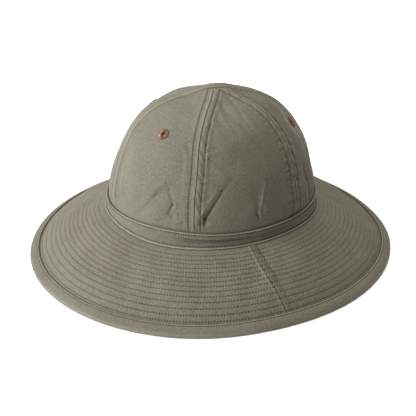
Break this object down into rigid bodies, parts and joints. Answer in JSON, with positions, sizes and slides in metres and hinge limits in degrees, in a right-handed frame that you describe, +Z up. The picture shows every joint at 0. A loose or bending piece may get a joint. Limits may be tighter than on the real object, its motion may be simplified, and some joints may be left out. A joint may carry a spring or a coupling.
{
  "type": "deck hat",
  "caption": "Soft cloth deck hat with a domed panelled crown, a folded band and a wide stitched brim, resting on its brim's edge.",
  "frame": {"origin": "middle of the brim's edge on the surface that the hat rests on", "axes": "+Z up through the crown, -Y to the front of the hat, +X to the wearer's left"},
  "size_m": [0.3234, 0.3418, 0.148],
  "materials": {
    "crown_cloth": "matt olive cotton twill",
    "band_cloth": "matt olive cotton twill, folded and stitched",
    "brim_cloth": "matt olive cotton twill, quilted with rows of stitching",
    "binding_cloth": "matt olive cotton tape",
    "eyelet_thread": "brown cotton thread"
  },
  "bodies": {
    "root": {"crown_panel_front_left": "crown_cloth", "crown_panel_side_left": "crown_cloth", "crown_panel_back_left": "crown_cloth", "crown_panel_back_right": "crown_cloth", "crown_panel_side_right": "crown_cloth", "crown_panel_front_right": "crown_cloth", "hat_band": "band_cloth", "brim_front": "brim_cloth", "brim_back": "brim_cloth", "edge_binding": "binding_cloth", "eyelet_front_left": "eyelet_thread", "eyelet_back_left": "eyelet_thread", "eyelet_back_right": "eyelet_thread", "eyelet_front_right": "eyelet_thread"}
  },
  "joints": []
}
